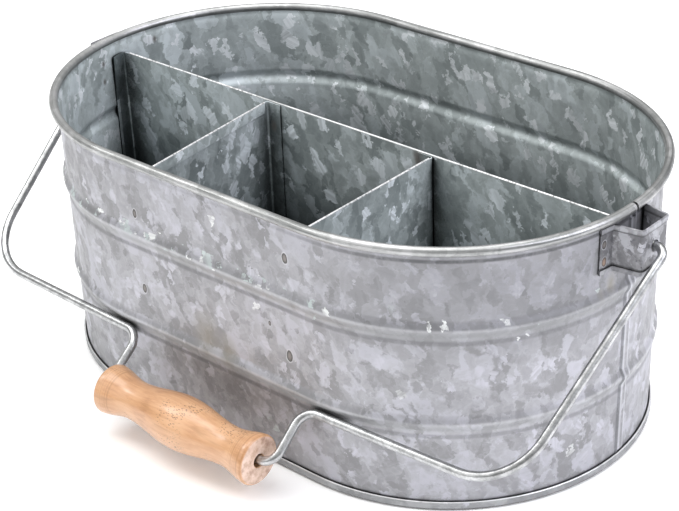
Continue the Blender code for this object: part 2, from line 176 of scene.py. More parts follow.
def bendTo(walk, angle, radius, steps=sheetMetal["bendSteps"]):
    # turns the selected outline to a new heading round a bend of this radius
    turn = (angle - walk["angle"] + 180) % 360 - 180
    if turn < -179.999:  # half a turn goes to the left
        turn = 180
    side = heading(walk["angle"] + (90 if turn > 0 else -90))
    centre = walk["place"] + side * radius
    bpy.ops.mesh.spin(steps=steps, angle=-radians(turn), center=centre, axis=(0, 0, 1))
    walk["place"] = centre + Matrix.Rotation(radians(turn), 3, "Z") @ (walk["place"] - centre)
    walk["angle"] = angle


def selectWhere(kind, parts, test):
    bpy.ops.object.mode_set(mode="EDIT")
    bpy.ops.mesh.select_mode(type=kind)
    bpy.ops.mesh.select_all(action="DESELECT")
    objectMode()
    for part in parts:
        part.select = test(part)
    bpy.ops.object.mode_set(mode="EDIT")


def selectFaces(piece, test):
    selectWhere("FACE", piece.data.polygons, test)


def selectVerts(piece, test):
    selectWhere("VERT", piece.data.vertices, lambda vert: test(vert.co))


def arcRows(centre, radius, start, turn, steps):
    angles = [radians(start + turn * i / steps) for i in range(steps + 1)]
    return [(centre[0] + radius * cos(a), centre[1] + radius * sin(a)) for a in angles]


def foldRows(height, way, length, side):
    # an edge folded back on itself: way 1 at the top, -1 at the bottom; side 1 folds to the right
    radius = foldPitch / 2
    turnLine = height - way * (radius + halfSheet)
    rows = arcRows((radius, turnLine), radius, 180, -way * 180, sheetMetal["foldSteps"])
    rows.append((foldPitch, height - way * length))
    return [(side * across, z) for across, z in rows]


def cleanMesh():
    editAll()
    bpy.ops.mesh.remove_doubles(threshold=touch / 2)
    bpy.ops.mesh.normals_make_consistent(inside=False)
    objectMode()


def thicken(piece):
    solid = piece.modifiers.new("sheet", "SOLIDIFY")
    solid.thickness = sheetMetal["thickness"]
    solid.offset = 0
    solid.use_even_offset = True
    bpy.ops.object.modifier_apply(modifier="sheet")


def smoothPiece(angle=sheetMetal["smoothAngle"]):
    bpy.ops.object.shade_smooth_by_angle(angle=radians(angle))


def markHem(piece, place):
    # the folded-over vertices of the outline, so that the hem's ends can be cut away later
    objectMode()
    folded = [vert.index for vert in piece.data.vertices if (vert.co.xy - place.xy).length > touch]
    piece.vertex_groups.new(name="hem").add(folded, 1, "REPLACE")
    editAll()


def cutHem(piece, beyond):
    inHem = {vert.index for vert in piece.data.vertices if vert.groups}
    selectFaces(piece, lambda face: beyond(face.center) and any(i in inHem for i in face.vertices))
    bpy.ops.mesh.delete(type="FACE")
    objectMode()


def tiltRows(piece, heights, baseHeight, direction, beyond):
    # moves each row of an end outwards, as far as the wall leans at its height
    for height in heights:
        selectVerts(piece, lambda co: abs(co.z - height) < touch and beyond(co))
        bpy.ops.transform.translate(value=direction * taper * (height - baseHeight))
    objectMode()


def sweepOval(walk):
    bendTo(walk, 180, rimRadius, tub["quarterSteps"])
    goAhead(walk, 2 * straightHalf)
    bendTo(walk, 0, rimRadius, 2 * tub["quarterSteps"])
    goAhead(walk, 2 * straightHalf)
    bendTo(walk, 90, rimRadius, tub["quarterSteps"])


# Tub wall: one sheet, beaded, curled at the rim and joined at the right end


def atRightEnd(face, middle, half):
    return face.center.x > straightHalf and abs(face.center.y - middle) < half


def makeWall():
    rows = [(wallMid(height) - rimRadius, height) for height in (wallLow.z, tub["seamLow"])]
    for middle in tub["beadHeights"]:
        for i in range(tub["beadSteps"] + 1):
            share = i / tub["beadSteps"]
            height = middle + tub["beadWidth"] * (share - 0.5)
            bulge = tub["beadDepth"] * (1 - cos(2 * pi * share)) / 2
            rows.append((wallMid(height) + bulge - rimRadius, height))
    seamHigh = rimHeight - tub["rollRadius"] - tub["seamBelowRim"]
    rows += [(wallMid(height) - rimRadius, height) for height in (seamHigh, rimHeight - tub["creaseBelow"])]
    rollMid = tub["rollRadius"] - halfSheet
    rollStart = 180 + degrees(acos(1 - tub["creaseDepth"] / rollMid))
    rows += arcRows((0, rimHeight), rollMid, rollStart, tub["rollEnd"] - rollStart, tub["rollSteps"])
    piece, walk = startWalk("tubWall", rightEnd, 90, rows)
    sweepOval(walk)
    cleanMesh()
    # lock seam: a strip cut free, then raised
    halfSeam = tub["seamWidth"] / 2
    halfGap = tub["rimJointGap"] / 2
    nearSeam = 3 * tub["seamWidth"]  # strip that the cuts go through
    seam, joint = tub["seamPlace"], tub["rimJointPlace"]
    for place in (seam - halfSeam, seam + halfSeam, joint - halfGap, joint + halfGap):
        selectFaces(piece, lambda face: atRightEnd(face, 0, nearSeam))
        bpy.ops.mesh.bisect(plane_co=(0, place, 0), plane_no=(0, 1, 0))
    selectFaces(piece, lambda face: atRightEnd(face, joint, halfGap)
                and (face.center.z > rimHeight
                     or face.center.x > straightHalf + wallMid(face.center.z) + halfSheet
                     and face.center.z > seamHigh))
    bpy.ops.mesh.delete(type="FACE")
    selectFaces(piece, lambda face: atRightEnd(face, seam, halfSeam)
                and tub["seamLow"] < face.center.z < seamHigh)
    extrudeBy((tub["seamHeight"], 0, 0))
    bpy.ops.transform.resize(value=(1, tub["seamCrown"], 1), center_override=(0, seam, 0))
    objectMode()
    thicken(piece)
    smoothPiece(tub["smoothAngle"])
    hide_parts("body_wall")
    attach(piece, "tub")
    return piece


# Bottom pan: its edge comes up outside the wall and is hemmed

pan = {
    "edgeHeight": panHigh.z - 0.1 * mm,
    "hemLift": 1.1 * mm,
    "cornerRadius": 0.6 * mm,
    "flare": 0.1 * mm,  # the hem stands off the wall at its top
    "paintedHighlightDepth": 0.45 * mm,  # the hem's fold, bright with a painted highlight
    "level": 0.9,  # faces that look up by more than this share are its floor
}


def makePan():
    side = seated + footMid - rimRadius
    radius = pan["cornerRadius"]
    floorMid = panLow.z + halfSheet
    rows = [(side - 2 * radius, floorMid)]
    rows += arcRows((side - radius, floorMid + radius), radius, -90, 90, sheetMetal["bendSteps"])
    rows += [
        (side + (taper + pan["flare"] / pan["edgeHeight"]) * z + across, z)
        for across, z in foldRows(pan["edgeHeight"], 1, pan["edgeHeight"] - pan["hemLift"], 1)
    ]
    piece, walk = startWalk("bottomPan", rightEnd, 90, rows)
    sweepOval(walk)
    cleanMesh()
    inner = rimRadius + side - 2 * radius
    selectVerts(piece, lambda co: co.z < floorMid + touch
                and hypot(max(abs(co.x) - straightHalf, 0), co.y) < inner + touch)
    bpy.ops.mesh.edge_face_add()
    cleanMesh()
    thicken(piece)
    smoothPiece()
    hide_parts("bottom_pan")
    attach(piece, "tub")
    return piece


# Dividers: flanged at both ends, hemmed along the top

divider = {
    "flange": 9 * mm,
    "hem": 6 * mm,
    "hemInset": 1.5 * mm,  # the hem stops short of the bends
    "liftBelow": 26 * mm,  # the left flange stands off the wall from here up
    "lift": 1.3 * mm,
    "flangeSteps": 4,
    "paintedHighlightDepth": 0.5 * mm,  # top of the hem, bright with a painted highlight
    "shaded": 2 * mm,  # width of the left flange that stands in shade
}


def dividerRows(side):
    return [(0, dividerLow.z)] + foldRows(dividerHigh.z, 1, divider["hem"], side)


def makeLongDivider():
    rows = dividerRows(-1)
    rows.insert(1, (0, dividerHigh.z - divider["liftBelow"]))
    reach = footMid - seated
    bend = sheetMetal["bendRadius"]
    flangeTurn = degrees(divider["flange"] / reach)
    bendTurn = degrees(bend / reach)
    spine = Vector((-straightHalf, 0, 0))
    start = spine + heading(180 + flangeTurn) * reach
    piece, walk = startWalk("longDivider", start, 90 + flangeTurn, rows)
    markHem(piece, walk["place"])
    bendTo(walk, 90 + bendTurn, reach, divider["flangeSteps"])
    bendTo(walk, 0, bend)
    hemStart = walk["place"].x + divider["hemInset"]
    goAhead(walk, divider["hemInset"])
    goAhead(walk, -2 * hemStart)
    goAhead(walk, divider["hemInset"])
    bendTo(walk, -90 - bendTurn, bend)
    bendTo(walk, -90 - flangeTurn, reach, divider["flangeSteps"])
    objectMode()
    cutHem(piece, lambda centre: abs(centre.x) > -hemStart)
    # left flange's top corner, off the wall
    for i in range(divider["flangeSteps"]):
        share = 1 - i / divider["flangeSteps"]
        edge = -reach * sin(radians(bendTurn + (flangeTurn - bendTurn) * share))
        selectVerts(piece, lambda co: co.x < hemStart and abs(co.y - edge) < 2 * slack
                    and co.z > dividerHigh.z - divider["hem"])
        bpy.ops.transform.translate(value=(divider["lift"] * share * share, 0, 0))
    objectMode()
    heights = sorted({z for across, z in rows})
    for way in (-1, 1):
        tiltRows(piece, heights, 0, Vector((way, 0, 0)), lambda co: co.x * way > slack - hemStart)
    cleanMesh()
    thicken(piece)
    smoothPiece()
    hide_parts("long_divider")
    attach(piece, "tub")
    return piece


def makeCrossDivider(name, node, side):
    rows = dividerRows(1)
    bend = sheetMetal["bendRadius"]
    low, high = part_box(node)
    place = max(side * low.x, side * high.x) - halfSheet
    skew = place - divider["flange"] - min(side * low.x, side * high.x)  # front end out of square
    back, front = -seated, seated - footMid
    slant = degrees(atan2(skew, back - front))
    backCut = bend * tan(radians(90 + slant) / 2)
    frontCut = bend * tan(radians(90 - slant) / 2)
    run = hypot(skew, back - front) - backCut - frontCut
    piece, walk = startWalk(name, Vector((place - divider["flange"], back, 0)), 0, rows)
    markHem(piece, walk["place"])
    goAhead(walk, divider["flange"] - backCut)
    bendTo(walk, -90 - slant, bend)
    goAhead(walk, divider["hemInset"])
    hemBack = walk["place"].y
    goAhead(walk, run - 2 * divider["hemInset"])
    hemFront = walk["place"].y
    goAhead(walk, divider["hemInset"])
    bendTo(walk, -180, bend)
    goAhead(walk, divider["flange"] - frontCut)
    objectMode()
    cutHem(piece, lambda centre: centre.y > hemBack or centre.y < hemFront)
    heights = sorted({z for across, z in rows})
    tiltRows(piece, heights, 0, Vector((0, -1, 0)), lambda co: co.y < hemFront - slack)
    if side < 0:
        editAll()
        bpy.ops.transform.mirror(constraint_axis=(True, False, False), center_override=(0, 0, 0))
    cleanMesh()
    thicken(piece)
    smoothPiece()
    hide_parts(node)
    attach(piece, "tub")
    return piece


# Ears: hat-shaped brackets under the rim that the bail hangs in

ear = {
    "span": 20.3 * mm,  # half of the whole width
    "foot": 12 * mm,  # half width where the sides leave the wall
    "faceHalf": 10.1 * mm,
    "hem": 2.6 * mm,
    "holeRadius": 2.8 * mm,
    "holeSides": 40,
    "flangeSteps": 3,
}


def makeEar(name, side):
    bottom = list(reversed(foldRows(earLow.z, -1, ear["hem"], 1)))
    top = foldRows(earHigh.z, 1, ear["hem"], 1)
    bend = sheetMetal["bendRadius"]
    reach = wallMid(hingePlace.z) + seated
    spanTurn = degrees(ear["span"] / reach)
    footTurn = degrees(ear["foot"] / reach)
    spine = Vector((straightHalf, 0, 0))
    foot = spine + heading(-footTurn) * reach
    corner = Vector((earHigh.x - foldPitch - halfSheet, halfSheet - ear["faceHalf"], 0))
    sideLine = corner - foot
    sideTurn = degrees(atan2(sideLine.y, sideLine.x))
    footCut = bend * tan(radians(90 - footTurn - sideTurn) / 2)
    cornerCut = bend * tan(radians(90 - sideTurn) / 2)
    footStop = footTurn + degrees(footCut / reach)
    piece, walk = startWalk(name, spine + heading(-spanTurn) * reach, 90 - spanTurn, bottom + top)
    bendTo(walk, 90 - footStop, reach, ear["flangeSteps"])
    bendTo(walk, sideTurn, bend)
    goAhead(walk, sideLine.length - footCut - cornerCut)
    bendTo(walk, 90, bend)
    goAhead(walk, -2 * walk["place"].y)
    bendTo(walk, 180 - sideTurn, bend)
    goAhead(walk, sideLine.length - footCut - cornerCut)
    bendTo(walk, 90 + footStop, bend)
    bendTo(walk, 90 + spanTurn, reach, ear["flangeSteps"])
    objectMode()
    heights = sorted({round(z, 7) for across, z in bottom + top})
    flangeStart = ear["foot"] - sheetMetal["thickness"]
    tiltRows(piece, heights, hingePlace.z, Vector((1, 0, 0)), lambda co: abs(co.y) > flangeStart)
    cleanMesh()
    thicken(piece)
    # punched hole
    depth = earHigh.x - straightHalf - wallMid(hingePlace.z)
    bpy.ops.mesh.primitive_cylinder_add(
        vertices=ear["holeSides"], radius=ear["holeRadius"], depth=depth,
        location=(earHigh.x, 0, hingePlace.z), rotation=(0, pi / 2, 0),
    )
    punch = bpy.context.object
    selectOnly(piece)
    hole = piece.modifiers.new("hole", "BOOLEAN")
    hole.object = punch
    hole.solver = "EXACT"
    bpy.ops.object.modifier_apply(modifier="hole")
    bpy.data.objects.remove(punch, do_unlink=True)
    if side < 0:
        editAll()
        bpy.ops.transform.rotate(value=pi, orient_axis="Z", center_override=(0, 0, 0))
        objectMode()
    smoothPiece()
    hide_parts("ear_right" if side > 0 else "ear_left")
    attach(piece, "tub")
    return piece


# Bail: one bent wire, drawn in its own plane and leaned against the front wall

bail = {
    "radius": 2.2 * mm,
    "gripHang": 0.75 * mm,  # the grip's axis below the wire's
    "legStandoff": 5.35 * mm,  # leg outside the ear's face
    "legLeanIn": 10.8 * mm,
    "hingeBend": 4.8 * mm,
    "cornerBend": 31 * mm,
    "shoulderBend": 9 * mm,
    "gripBends": (7.5 * mm, 3.4 * mm),  # right and left
    "cornerRises": (4.2 * mm, 2.7 * mm),  # right and left
    "gripOffset": 30.2 * mm,  # from the shoulders down to the grip's wire
    "shoulderDrawIn": 0.6 * mm,
    "gripEndRoom": 5.4 * mm,  # from the grip's end out to the wire that comes down
    "stubEndGap": 1.5 * mm,
    "shift": 0.9 * mm,  # the bail hangs a little to the right
    "crankShift": 1.9 * mm,  # and its middle sits further right still
    "bendSteps": 14,
    "bevelResolution": 7,
    "smoothAngle": 50,
}
grip = {
    "length": gripHigh.x - gripLow.x,
    "endRadius": 12.75 * mm,
    "bellyRadius": 13.5 * mm,
    "waistRadius": 9.8 * mm,
    "waistPlace": 31.5 * mm,
    "edgeRadius": 1.6 * mm,
    "boreRadius": 3.3 * mm,
    "boreEdge": 0.4 * mm,  # chamfer at the bore's mouth
    "sides": 72,
    "bellySteps": 16,
    "flareSteps": 9,
    "edgeSteps": 5,
    "smoothAngle": 40,
}


def roundedLine(corners, radii, steps):
    # a bent line in a plane: corner points turned into arcs
    line = [Vector(corners[0])]
    for before, corner, after, radius in zip(corners, corners[1:], corners[2:], radii):
        corner = Vector(corner)
        back = (Vector(before) - corner).normalized()
        ahead = (Vector(after) - corner).normalized()
        half = back.angle(ahead) / 2
        centre = corner + (back + ahead).normalized() * radius / sin(half)
        first = corner + back * radius / tan(half) - centre
        last = corner + ahead * radius / tan(half) - centre
        turn = first.angle_signed(last)
        for i in range(steps + 1):
            line.append(centre + Matrix.Rotation(-turn * i / steps, 2) @ first)
    return line + [Vector(corners[-1])]


def makeBail():
    gripWire = gripPlace + Vector((0, 0, bail["gripHang"])) - hingePlace
    lean = atan2(-gripWire.y, -gripWire.z)
    gripDrop = gripWire.length
    legOut = earHigh.x - foldPitch + bail["legStandoff"]
    gripOut = grip["length"] / 2 + bail["gripEndRoom"]
    shoulderDrop = gripDrop - bail["gripOffset"]
    stub = straightHalf + wallMid(hingePlace.z) + tub["seamHeight"] + halfSheet + bail["stubEndGap"]
    halves = []
    for side, rise, gripBend in zip((1, -1), bail["cornerRises"], bail["gripBends"]):
        radii = [bail["hingeBend"], bail["cornerBend"], bail["shoulderBend"], gripBend]
        leg = [(stub, 0), (legOut, 0), (legOut - bail["legLeanIn"], rise - shoulderDrop)]
        crank = [(gripOut - bail["shoulderDrawIn"], -shoulderDrop), (gripOut, -gripDrop), (0, -gripDrop)]
        corners = [(side * out + bail["shift"], up) for out, up in leg]
        corners += [(side * out + bail["shift"] + bail["crankShift"], up) for out, up in crank]
        halves.append(roundedLine(corners, radii, bail["bendSteps"]))
    line = halves[0] + halves[1][-2::-1]
    turn = Matrix.Rotation(-lean, 3, "X")
    piece = drawLine("bailWire", [hingePlace + turn @ Vector((point.x, 0, point.y)) for point in line])
    objectMode()
    bpy.ops.object.convert(target="CURVE")
    piece = bpy.context.object
    piece.data.bevel_depth = bail["radius"]
    piece.data.bevel_resolution = bail["bevelResolution"]
    piece.data.use_fill_caps = True
    bpy.ops.object.convert(target="MESH")
    piece = bpy.context.object
    cleanMesh()
    smoothPiece(bail["smoothAngle"])
    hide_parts("bail_wire")
    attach(piece, "bail")
    return piece


# Grip: turned from one piece of wood, bored through


def gripRadius(along):
    if along <= grip["waistPlace"]:
        share = (1 + cos(pi * along / grip["waistPlace"])) / 2
        return grip["waistRadius"] + (grip["bellyRadius"] - grip["waistRadius"]) * share
    flare = grip["length"] / 2 - grip["waistPlace"]
    share = (1 - cos(pi * (along - grip["waistPlace"]) / flare)) / 2
    return grip["waistRadius"] + (grip["endRadius"] - grip["waistRadius"]) * share


def makeGrip():
    edge = grip["edgeRadius"]
    edgeStart = grip["length"] / 2 - edge
    waist = grip["waistPlace"]
    places = [waist * i / grip["bellySteps"] for i in range(grip["bellySteps"])]
    places += [waist + (edgeStart - waist) * i / grip["flareSteps"] for i in range(grip["flareSteps"] + 1)]
    half = [(along, gripRadius(along)) for along in places]
    half += arcRows((edgeStart, gripRadius(edgeStart) - edge), edge, 90, -90, grip["edgeSteps"])[1:]
    mouth, bore, chamfer = grip["length"] / 2, grip["boreRadius"], grip["boreEdge"]
    half += [(mouth, bore + chamfer), (mouth - chamfer, bore)]
    outline = [(-along, radius) for along, radius in reversed(half[1:])] + half
    outline.append(outline[0])
    piece = drawLine("turnedGrip", [gripPlace + Vector((along, 0, radius)) for along, radius in outline])
    bpy.ops.mesh.spin(steps=grip["sides"], angle=2 * pi, center=gripPlace, axis=(1, 0, 0))
    cleanMesh()
    smoothPiece(grip["smoothAngle"])
    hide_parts("grip")
    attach(piece, "grip")
    return piece


# Materials


def toLinear(hexText):
    channels = [int(hexText[i:i + 2], 16) / 255 for i in (1, 3, 5)]
    return tuple(c / 12.92 if c <= 0.04045 else ((c + 0.055) / 1.055) ** 2.4 for c in channels) + (1.0,)


def addNode(tree, kind, links=None, values=None, stops=None, **settings):
    # a link comes from a socket, or from the first output that a node has in use
    node = tree.nodes.new("ShaderNode" + kind)
    for name, value in settings.items():
        setattr(node, name, value)
    for name, value in (values or {}).items():
        node.inputs[name].default_value = value
    for name, source in (links or {}).items():
        if isinstance(source, bpy.types.Node):
            source = next(socket for socket in source.outputs if socket.enabled)
        tree.links.new(source, node.inputs[name])
    if stops:
        ramp = node.color_ramp
        while len(ramp.elements) < len(stops):
            ramp.elements.new(0.5)
        for element, (place, colour) in zip(ramp.elements, stops):
            element.position = place
            element.color = toLinear(colour)
    return node


def newMaterial(name):
    # with it comes add, which adds nodes to it
    material = bpy.data.materials.new(name)
    material.use_nodes = True
    material.node_tree.nodes.clear()
    return material, partial(addNode, material.node_tree)


def patternOf(sizeMm, detail=2, roughness=0.5):
    return {"Scale": metre / sizeMm, "Detail": detail, "Roughness": roughness}


def span(start, end, atStart=0, atEnd=1):
    # how a value is read: start becomes atStart, end becomes atEnd, and it stops there
    return {1: start, 2: end, 3: atStart, 4: atEnd}


def layOver(add, finish, over, *masks):
    # lays a tone, in hex or from a node, over the finish where all the masks meet
    share = masks[0]
    for mask in masks[1:]:
        share = add("Math", {0: share, 1: mask}, operation="MULTIPLY")
    if isinstance(over, str):
        return add("Mix", {0: share, 6: finish}, {7: toLinear(over)}, data_type="RGBA")
    return add("Mix", {0: share, 6: finish, 7: over}, data_type="RGBA")


# Marks on the sheet: places as x, y, z and radius in mm, tones from the middle outwards,
# and the share of the radius that is solid
# welds: the pale outer ring of each is a painted highlight on its dimple's rim
weldMarks = {
    "places": [
        (-49.1, -101.8, 109.3, 2.1), (-47.7, -101.2, 68.0, 2.1), (49.1, -101.9, 118.1, 2.4),
        (36.8, -101.4, 79.4, 1.2), (48.3, -101.2, 65.8, 2.6),
    ],
    "tones": ((0.0, "#857f7a"), (0.4, "#75706c"), (0.62, "#484544"), (0.74, "#5c5958"), (0.84, "#cbcbce")),
    "solid": 0.8,
}
# painted reflection and shade of the wooden grip on the front wall above it, and painted shade under the
# right ear
reflectionAndShadeMarks = {
    "places": [(-6, -101, 56, 11), (8, -101, 52, 8), (162, -11, 103, 4.5), (160.5, -18, 99, 3.5)],
    "tones": ((0.0, "#8b877e"), (0.6, "#96938c"), (1.0, "#a3a19c")),
    "solid": 0.05,
}
innerMarks = {
    "places": [
        (-161.7, -15.9, 128.0, 1.6), (-161.5, -16.5, 117.9, 1.6), (-160.7, 21.7, 130.4, 1.8),
        (-50.5, -0.6, 117.0, 2.6), (44.0, 0.0, 126.0, 5.0),
    ],
    "tones": ((0.0, "#6b6764"), (0.6, "#7d7975"), (1.0, "#8b8885")),
    "solid": 0.3,
}
earWelds = dict(weldMarks, places=[(162.5, -17.9, 126.0, 1.9)])
# a rusty weld on the ear, whose pale outer ring is also a painted highlight
rustMarks = {
    "places": [(162.5, -17.4, 117.2, 2.0)],
    "tones": ((0.0, "#a48d7e"), (0.45, "#97806f"), (0.62, "#5b524c"), (0.76, "#75706c"), (0.86, "#b2b2b6")),
    "solid": 0.8,
}
markShape = {
    "spread": 1.4,  # the pale ring, a painted highlight, reaches past the radius
    "squash": (1.5, 1.5, 0.9),  # the electrodes leave upright ovals
    "wander": 0.6,  # uneven edge, as a share of the radius
    "strength": 0.9,
}

# Painted light and shade in bands round the outside: height, half width, strength at the left and at the
# right, tone
paintedBands = [
    (132.2, 1.4, 0.15, 0.85, "#505153"),  # painted shadow under the curled rim
    (9, 8, 0.12, 0.0, "#77787a"),  # painted shade low on the wall, above the pan's hem
    (112, 42, 0.0, 0.4, "#77787b"),  # painted shade round the upper right front
]
for beadHeight in tub["beadHeights"]:
    paintedBands += [
        (beadHeight / mm - 2.6, 4.2, 0.55, 0.4, "#b4b6b6"),  # painted highlight on the bead
        (beadHeight / mm - 7, 1.8, 0.6, 0.45, "#6e6e71"),  # painted shade in the crease under it
        (beadHeight / mm + 0.2, 1.0, 0.4, 0.25, "#d0d1d4"),  # light on its upper flank
        (beadHeight / mm + 1.9, 1.4, 0.26, 0.18, "#818285"),  # painted shade in its upper crease
    ]

# What every zinc sheet shares
zinc = {
    "streakMm": 0.9,  # fine lines inside each crystal
    "mottleMm": 3.2,
    "grainMm": 1.1,
    "wideMm": 45,  # slow change from place to place, and shallow dents
    "warpSize": 1.8,  # clouds that bend the borders, against how far they bend
    "warpReach": 3,  # as the clouds stray a third from their middle at most
    "toneStops": (0.34, 0.44, 0.54, 0.64),
    # how much of each goes over those before it
    "layers": {"chip": 0.34, "shade": 0.16, "wide": 0.28, "streak": 0.14, "mottle": 0.2},
    "brushed": span(0.3, 0.7, 0.5, 1),  # streaks through pale and dark crystals
    "scratched": span(0.35, 0.6, 0.25, 1),  # and through flakes
    "uneven": span(0.3, 0.6, 0.6, 1.1),  # patchy bands
    "paleFade": 0.01,
    "darkFade": 0.03,
    "flakeFade": 0.003,
    "greenAbove": 0.45,  # flakes past this random number are greenish
    "stripeCore": 0.25,  # share of a stripe's half width that is full
    "bandSpan": (40 * mm, 120 * mm),  # where a band goes from left to right strength
    "boostSpan": (20 * mm, 90 * mm),  # where the flaky band thins out
    "boostRight": 1 / 8,
    "sparkleHalf": 4.5,  # mm
    "seamReach": 12 * mm,  # from the tub's right end
    # along the lock seam's edges: a painted shadow line, then a painted highlight strip; offset, half
    # width, strength, tone
    "seamLines": ((0, 1.0, 0.5, "#737478"), (1.4, 1.2, 0.45, "#d3d4da")),
    # strength, and depth in mm
    "bumps": {"grain": (0.5, 0.06), "mottle": (0.5, 0.12), "flake": (0.6, 0.2), "wide": (1.0, 0.9)},
}
outsideLook = {
    "patchMm": 9,  # width of the big crystals
    "patchBlur": 0.16,
    "chipMm": 4.4,  # small bright or dark crystals between them
    "flakeMm": 3.2,  # flakes that flash white
    "warpMm": 4,  # how far their borders wander
    "stretch": (1, 1, 1.6),
    "slant": -20,  # degrees that the crystals lean
    "tones": ("#929294", "#a1a1a4", "#afafb3", "#bdbdc4"),
    "paleChips": 0.12,  # shares of the small crystals
    "darkChips": 0.08,
    "chipEdge": (0.72, 0.42),  # where the small crystals fade, from their middles
    "pale": "#c8c8d0",
    "darkChip": "#919193",
    "sparkle": ("#f4f6f5", "#c6d0cf"),
    "sparkles": 0.999,  # flakes above this random number
    "sparkleBand": 100.5,  # mm above the floor, along the upper bead
    "sparkleBoost": 0.25,
    "seamEdges": (0.2, 4.8),  # mm across the right end: the lock seam's edges, lined with a painted shadow and a painted highlight
    # shade from the floor up to the rim
    "heights": ((0.0, "#f3f3f3"), (0.5, "#f3f3f3"), (0.75, "#ededed"), (0.96, "#ebebeb")),
    "bands": paintedBands,
    "hollowShadeAndDirtMm": 3,  # reach of the painted shade and dirt in creases and corners
    "hollowShadeAndDirt": ((0.35, "#5a5a5a"), (0.75, "#ffffff")),
    "metallic": 0.5,
    "roughness": (0.44, 0.58),
    "drawLines": 0.0,  # lines along the curled rim, left by the rollers
    "tilt": 0.06,  # how unlike the crystals' faces lie
}
evenHeights = ((0.0, "#ffffff"), (1.0, "#ffffff"))
noSparkles = {"sparkleBoost": 0.0, "sparkles": 1.1, "seamEdges": ()}
insideLook = dict(
    outsideLook, tones=("#8d9595", "#a1a9a9", "#b4bcbc", "#ccd4d6"), paleChips=0.17, darkChips=0.05,
    chipEdge=(0.9, 0.66), patchBlur=0.06, pale="#f2f8fc", darkChip="#8a9292",
    patchMm=11, chipMm=5, warpMm=4.5, stretch=(1, 1, 1.9), slant=-28, tilt=0.1,
    sparkles=0.994, sparkleBoost=0.0, sparkle=("#e4eaec", "#ccd4d6"), seamEdges=(), bands=(),
    # painted shade: darker towards the cells' floors, and almost black in their deep corners
    heights=((0.0, "#3a3d3e"), (0.46, "#7c8082"), (0.6, "#e0e2e3"), (0.68, "#ffffff")),
    roughness=(0.5, 0.65), hollowShadeAndDirtMm=38,
    hollowShadeAndDirt=((0.37, "#0e0f10"), (0.48, "#3c4041"), (0.58, "#bcc0c1"), (0.68, "#ffffff")),
)
# the tub wall's inside: a lighter copy of the inside sheet, painted light, with less painted shade up its
# height
wallInsideLook = dict(
    insideLook, tones=("#a3abab", "#b5bdbd", "#c5cdcd", "#d8e0e2"), pale="#f8fcff", darkChip="#9ba3a3",
    paleChips=0.15, heights=((0.0, "#3a3d3e"), (0.34, "#7c8082"), (0.5, "#dcdedf"), (0.64, "#ffffff")),
)
flangeLook = dict(
    insideLook, tones=("#5f6768", "#6b7374", "#778081", "#8b9394"), pale="#9aa2a5", darkChip="#5c6364",
    paleChips=0.06,
)
rimLook = dict(
    outsideLook, **noSparkles, tones=("#949594", "#a1a2a1", "#adaead", "#bababa"), paleChips=0.02,
    darkChips=0.02, pale="#bcbebd", heights=evenHeights, bands=(),
    patchMm=18, patchBlur=0.4, metallic=0.75, roughness=(0.34, 0.42), tilt=0.015, drawLines=0.75,
)
# painted highlight along the folded edges: a bright copy of the rim's sheet
highlightEdgeLook = dict(rimLook, tones=("#d0d2d2", "#d9dada", "#e2e2e2", "#ececec"), pale="#f2f2f2", metallic=0.5)
earLook = dict(
    outsideLook, **noSparkles, tones=("#68686b", "#7c7c7f", "#909093", "#a6a7ac"), patchMm=6, chipMm=3.2,
    paleChips=0.06, darkChips=0.16, pale="#b9bac0", darkChip="#606064", heights=evenHeights,
    hollowShadeAndDirtMm=2.5, hollowShadeAndDirt=((0.4, "#3d3d3f"), (0.8, "#ffffff")), bands=(
        (earHigh.z / mm - 1.2, 1.5, 0.45, 0.45, "#bdbec2"),  # painted highlights on the hems, and painted shade lines along their edges
        (earHigh.z / mm - 3.1, 0.8, 0.7, 0.7, "#454547"),
        (earLow.z / mm + 3.1, 0.8, 0.7, 0.7, "#454547"),
        (earLow.z / mm + 1.2, 1.5, 0.3, 0.3, "#adaeb2"),
    ),
)
panLook = dict(
    outsideLook, **noSparkles, tones=("#88898a", "#939495", "#9d9e9f", "#a8a9aa"), paleChips=0.06,
    # painted shade along the pan's bottom edge
    heights=((0.0, "#3c3c3c"), (0.005, "#6e6e6e"), (0.01, "#ffffff")), bands=(),
)
roller = {
    "lineMm": 1.3,
    "along": 0.03,  # the lines run on, so the noise hardly changes along them
    "lines": (0.5, 0.66),
    "dark": "#6c6e6d",
}


def inStripe(add, measure, middle, half, strength=1):
    # full strength in the middle of a stripe, nothing past its edges, all in mm
    off = add("Math", {0: measure}, {1: middle * mm}, operation="SUBTRACT")
    far = add("Math", {0: off}, operation="ABSOLUTE")
    fade = span(half * mm, zinc["stripeCore"] * half * mm, 0, strength)
    return add("MapRange", {0: far}, fade, interpolation_type="SMOOTHSTEP")


def rollerLines(add, endways, sideways, height, strength):
    # noise by the distance from the oval's spine and the height, so its lines follow the rim
    onSpine = add("Clamp", {"Value": endways}, {"Min": -straightHalf, "Max": straightHalf})
    offSpine = add("Math", {0: endways, 1: onSpine}, operation="SUBTRACT")
    flat = add("CombineXYZ", {0: offSpine, 1: sideways})
    out = add("VectorMath", {0: flat}, operation="LENGTH")
    slow = add("Math", {0: endways}, {1: roller["along"]}, operation="MULTIPLY")
    ring = add("CombineXYZ", {0: out, 1: slow, 2: height})
    lines = add("TexNoise", {"Vector": ring}, patternOf(roller["lineMm"], 3))
    return add("MapRange", {0: lines}, span(*roller["lines"], 0, strength))


